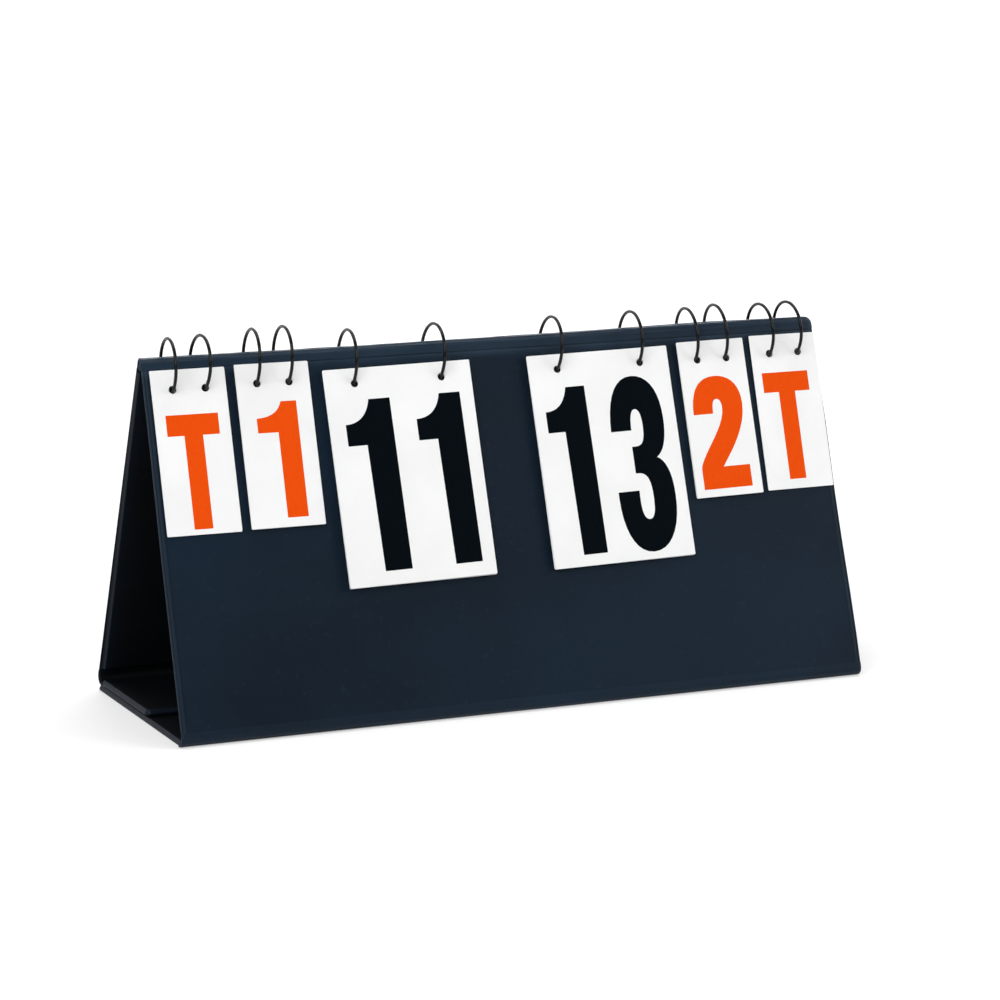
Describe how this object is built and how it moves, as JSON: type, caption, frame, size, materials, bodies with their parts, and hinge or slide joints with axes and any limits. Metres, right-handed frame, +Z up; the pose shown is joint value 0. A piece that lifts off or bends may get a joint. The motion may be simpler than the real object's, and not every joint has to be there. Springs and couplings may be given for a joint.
{
  "type": "tabletop flip scoreboard",
  "caption": "Tent-shaped tabletop scoreboard of soft vinyl over stiff boards, with stacks of number leaves that flip over the ridge on wire rings; it folds flat.",
  "frame": {"origin": "middle of the base, on the surface that it stands on", "axes": "+X along the ridge to the viewer's right, -Y towards the viewer in front, +Z up"},
  "size_m": [0.399, 0.1292, 0.2026],
  "materials": {
    "cover_vinyl": "navy vinyl sheet, fine leather grain, satin",
    "lining_vinyl": "navy vinyl sheet, satin",
    "board": "grey board, sealed in the cover",
    "wire": "steel wire, gloss black coating",
    "leaf_plastic": "white plastic sheet, satin, printed numbers",
    "hook_tape": "hook side of hook-and-loop tape",
    "loop_tape": "loop side of hook-and-loop tape"
  },
  "bodies": {
    "front_panel": {"front_outer_sheet": "cover_vinyl", "front_board": "board", "front_inner_sheet": "lining_vinyl", "ridge_fold": "cover_vinyl", "front_fold": "cover_vinyl", "time_out_left_front_pack": "leaf_plastic", "sets_left_front_pack": "leaf_plastic", "points_left_front_pack": "leaf_plastic", "points_right_front_pack": "leaf_plastic", "sets_right_front_pack": "leaf_plastic", "time_out_right_front_pack": "leaf_plastic"},
    "back_panel": {"back_outer_sheet": "cover_vinyl", "back_board": "board", "back_inner_sheet": "lining_vinyl", "rear_fold": "cover_vinyl", "points_left_back_pack": "leaf_plastic", "points_right_back_pack": "leaf_plastic", "sets_right_back_pack": "leaf_plastic"},
    "lower_flap": {"lower_flap_outer_sheet": "cover_vinyl", "lower_flap_board": "board", "lower_flap_inner_sheet": "lining_vinyl", "loop_pads": "loop_tape"},
    "upper_flap": {"upper_flap_outer_sheet": "cover_vinyl", "upper_flap_board": "board", "upper_flap_inner_sheet": "lining_vinyl", "hook_pads": "hook_tape"},
    "time_out_left_ring_1": {"time_out_left_ring_1": "wire"},
    "time_out_left_ring_2": {"time_out_left_ring_2": "wire"},
    "time_out_left_front_leaf": {"time_out_left_front_leaf": "leaf_plastic"},
    "sets_left_ring_1": {"sets_left_ring_1": "wire"},
    "sets_left_ring_2": {"sets_left_ring_2": "wire"},
    "sets_left_front_leaf": {"sets_left_front_leaf": "leaf_plastic"},
    "sets_left_back_leaf": {"sets_left_back_leaf": "leaf_plastic"},
    "points_left_ring_1": {"points_left_ring_1": "wire"},
    "points_left_ring_2": {"points_left_ring_2": "wire"},
    "points_left_front_leaf": {"points_left_front_leaf": "leaf_plastic"},
    "points_left_back_leaf": {"points_left_back_leaf": "leaf_plastic"},
    "points_right_ring_1": {"points_right_ring_1": "wire"},
    "points_right_ring_2": {"points_right_ring_2": "wire"},
    "points_right_front_leaf": {"points_right_front_leaf": "leaf_plastic"},
    "points_right_back_leaf": {"points_right_back_leaf": "leaf_plastic"},
    "sets_right_ring_1": {"sets_right_ring_1": "wire"},
    "sets_right_ring_2": {"sets_right_ring_2": "wire"},
    "sets_right_front_leaf": {"sets_right_front_leaf": "leaf_plastic"},
    "sets_right_back_leaf": {"sets_right_back_leaf": "leaf_plastic"},
    "time_out_right_ring_1": {"time_out_right_ring_1": "wire"},
    "time_out_right_ring_2": {"time_out_right_ring_2": "wire"},
    "time_out_right_front_leaf": {"time_out_right_front_leaf": "leaf_plastic"}
  },
  "joints": [
    {"name": "panel_fold", "type": "hinge", "parent": "front_panel", "child": "back_panel", "pos_m": [0, 0, 0.18632], "axis": [1, 0, 0], "range_deg": [-32, 0]},
    {"name": "lower_flap_fold", "type": "hinge", "parent": "front_panel", "child": "lower_flap", "pos_m": [0, -0.0608, 0.0042], "axis": [1, 0, 0], "range_deg": [-108.47, 0], "deforming": ["front_fold"]},
    {"name": "upper_flap_fold", "type": "hinge", "parent": "back_panel", "child": "upper_flap", "pos_m": [0, 0.05953, 0.008], "axis": [1, 0, 0], "range_deg": [-70, 0]},
    {"name": "time_out_left_ring_1_turn", "type": "hinge", "parent": "front_panel", "child": "time_out_left_ring_1", "pos_m": [-0.1829, 0, 0.18632], "axis": [-1, 0, 0], "range_deg": [0, 284.07]},
    {"name": "time_out_left_front_leaf_swing", "type": "hinge", "parent": "time_out_left_ring_1", "child": "time_out_left_front_leaf", "pos_m": [-0.1829, -0.00939, 0.17399], "axis": [-1, 0, 0], "range_deg": [0, 39.02]},
    {"name": "time_out_left_ring_2_turn", "type": "hinge", "parent": "front_panel", "child": "time_out_left_ring_2", "pos_m": [-0.1649, 0, 0.18632], "axis": [-1, 0, 0], "range_deg": [0, 284.07]},
    {"name": "sets_left_ring_1_turn", "type": "hinge", "parent": "front_panel", "child": "sets_left_ring_1", "pos_m": [-0.137, 0, 0.18632], "axis": [-1, 0, 0], "range_deg": [0, 277.46]},
    {"name": "sets_left_front_leaf_swing", "type": "hinge", "parent": "sets_left_ring_1", "child": "sets_left_front_leaf", "pos_m": [-0.137, -0.01082, 0.17522], "axis": [-1, 0, 0], "range_deg": [0, 45.62]},
    {"name": "sets_left_ring_2_turn", "type": "hinge", "parent": "back_panel", "child": "sets_left_ring_2", "pos_m": [-0.119, 0, 0.18632], "axis": [1, 0, 0], "range_deg": [0, 277.31]},
    {"name": "sets_left_back_leaf_swing", "type": "hinge", "parent": "sets_left_ring_2", "child": "sets_left_back_leaf", "pos_m": [-0.119, 0.00909, 0.17377], "axis": [1, 0, 0], "range_deg": [0, 45.77]},
    {"name": "points_left_ring_1_turn", "type": "hinge", "parent": "front_panel", "child": "points_left_ring_1", "pos_m": [-0.08315, 0, 0.18432], "axis": [-1, 0, 0], "range_deg": [0, 251.3]},
    {"name": "points_left_front_leaf_swing", "type": "hinge", "parent": "points_left_ring_1", "child": "points_left_front_leaf", "pos_m": [-0.08315, -0.01238, 0.17499], "axis": [-1, 0, 0], "range_deg": [0, 71.78]},
    {"name": "points_left_ring_2_turn", "type": "hinge", "parent": "back_panel", "child": "points_left_ring_2", "pos_m": [-0.03315, 0, 0.18432], "axis": [1, 0, 0], "range_deg": [0, 251.3]},
    {"name": "points_left_back_leaf_swing", "type": "hinge", "parent": "points_left_ring_2", "child": "points_left_back_leaf", "pos_m": [-0.03315, 0.01238, 0.17499], "axis": [1, 0, 0], "range_deg": [0, 71.78]},
    {"name": "points_right_ring_1_turn", "type": "hinge", "parent": "front_panel", "child": "points_right_ring_1", "pos_m": [0.03555, 0, 0.18432], "axis": [-1, 0, 0], "range_deg": [0, 251.06]},
    {"name": "points_right_front_leaf_swing", "type": "hinge", "parent": "points_right_ring_1", "child": "points_right_front_leaf", "pos_m": [0.03555, -0.01186, 0.17433], "axis": [-1, 0, 0], "range_deg": [0, 72.02]},
    {"name": "points_right_ring_2_turn", "type": "hinge", "parent": "back_panel", "child": "points_right_ring_2", "pos_m": [0.08555, 0, 0.18432], "axis": [1, 0, 0], "range_deg": [0, 251.28]},
    {"name": "points_right_back_leaf_swing", "type": "hinge", "parent": "points_right_ring_2", "child": "points_right_back_leaf", "pos_m": [0.08555, 0.01288, 0.17569], "axis": [1, 0, 0], "range_deg": [0, 71.8]},
    {"name": "sets_right_ring_1_turn", "type": "hinge", "parent": "front_panel", "child": "sets_right_ring_1", "pos_m": [0.1214, 0, 0.18632], "axis": [-1, 0, 0], "range_deg": [0, 277.51]},
    {"name": "sets_right_front_leaf_swing", "type": "hinge", "parent": "sets_right_ring_1", "child": "sets_right_front_leaf", "pos_m": [0.1214, -0.01054, 0.17496], "axis": [-1, 0, 0], "range_deg": [0, 45.57]},
    {"name": "sets_right_ring_2_turn", "type": "hinge", "parent": "back_panel", "child": "sets_right_ring_2", "pos_m": [0.1394, 0, 0.18632], "axis": [1, 0, 0], "range_deg": [0, 277.41]},
    {"name": "sets_right_back_leaf_swing", "type": "hinge", "parent": "sets_right_ring_2", "child": "sets_right_back_leaf", "pos_m": [0.1394, 0.00939, 0.17399], "axis": [1, 0, 0], "range_deg": [0, 45.67]},
    {"name": "time_out_right_ring_1_turn", "type": "hinge", "parent": "front_panel", "child": "time_out_right_ring_1", "pos_m": [0.1673, 0, 0.18632], "axis": [-1, 0, 0], "range_deg": [0, 284.07]},
    {"name": "time_out_right_front_leaf_swing", "type": "hinge", "parent": "time_out_right_ring_1", "child": "time_out_right_front_leaf", "pos_m": [0.1673, -0.00939, 0.17399], "axis": [-1, 0, 0], "range_deg": [0, 39.02]},
    {"name": "time_out_right_ring_2_turn", "type": "hinge", "parent": "front_panel", "child": "time_out_right_ring_2", "pos_m": [0.1853, 0, 0.18632], "axis": [-1, 0, 0], "range_deg": [0, 284.07]}
  ],
  "couplings": [
    {"joint": "lower_flap_fold", "follows": "panel_fold", "ratio": 3.3894},
    {"joint": "upper_flap_fold", "follows": "panel_fold", "ratio": 2.1875},
    {"joint": "time_out_left_front_leaf_swing", "follows": "time_out_left_ring_1_turn", "ratio": 0.13733},
    {"joint": "time_out_left_ring_2_turn", "follows": "time_out_left_ring_1_turn", "ratio": 1},
    {"joint": "sets_left_front_leaf_swing", "follows": "sets_left_ring_1_turn", "ratio": 0.1644},
    {"joint": "sets_left_back_leaf_swing", "follows": "sets_left_ring_2_turn", "ratio": 0.16503},
    {"joint": "points_left_front_leaf_swing", "follows": "points_left_ring_1_turn", "ratio": 0.28561},
    {"joint": "points_left_back_leaf_swing", "follows": "points_left_ring_2_turn", "ratio": 0.28561},
    {"joint": "points_right_front_leaf_swing", "follows": "points_right_ring_1_turn", "ratio": 0.28684},
    {"joint": "points_right_back_leaf_swing", "follows": "points_right_ring_2_turn", "ratio": 0.2857},
    {"joint": "sets_right_front_leaf_swing", "follows": "sets_right_ring_1_turn", "ratio": 0.1642},
    {"joint": "sets_right_back_leaf_swing", "follows": "sets_right_ring_2_turn", "ratio": 0.16462},
    {"joint": "time_out_right_front_leaf_swing", "follows": "time_out_right_ring_1_turn", "ratio": 0.13733},
    {"joint": "time_out_right_ring_2_turn", "follows": "time_out_right_ring_1_turn", "ratio": 1}
  ]
}
